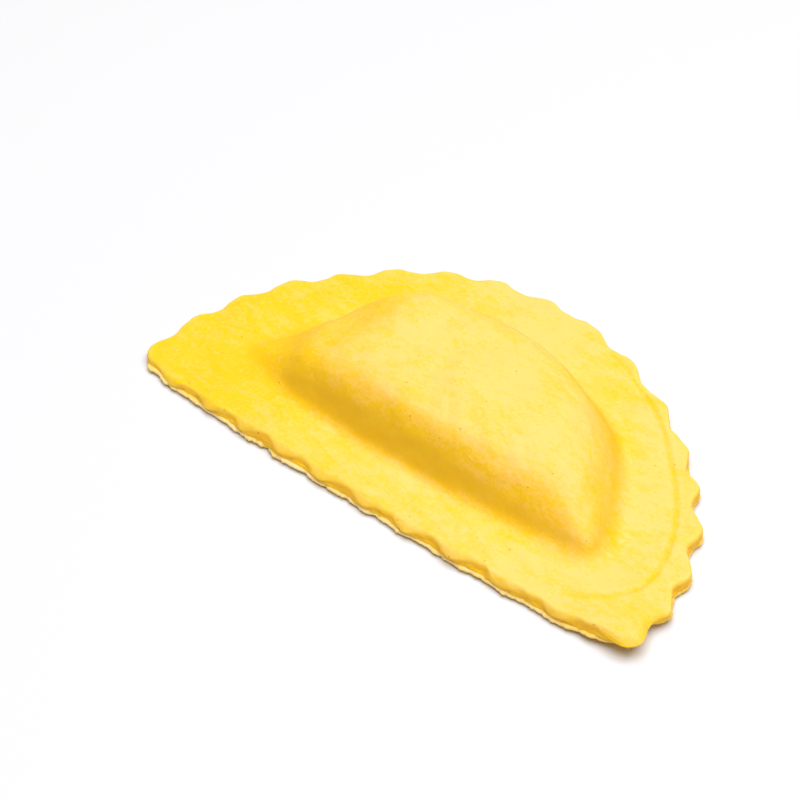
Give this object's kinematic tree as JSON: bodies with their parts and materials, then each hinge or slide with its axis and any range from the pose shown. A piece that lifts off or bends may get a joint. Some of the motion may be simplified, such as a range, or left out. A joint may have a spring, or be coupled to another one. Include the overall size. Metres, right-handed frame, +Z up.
{
  "type": "half-moon ravioli",
  "caption": "Filled half-moon pasta with a domed pocket, a flat pressed rim and a fluted cut edge; rests on its flat underside.",
  "frame": {"origin": "on the table, under the middle of the outline's box, at the flat underside", "axes": "+X along the straight side towards the corner that curls up, +Y from the straight side towards the curved side, +Z up out of the underside"},
  "size_m": [0.0734, 0.041, 0.0106],
  "materials": {
    "pasta_upper": "satin egg-yellow pasta dough with fine grain and tiny specks",
    "pasta_lower": "matt paler pasta dough with a dry ragged cut edge"
  },
  "bodies": {
    "root": {"pasta_upper_sheet": "pasta_upper", "pasta_lower_sheet": "pasta_lower"}
  },
  "joints": []
}
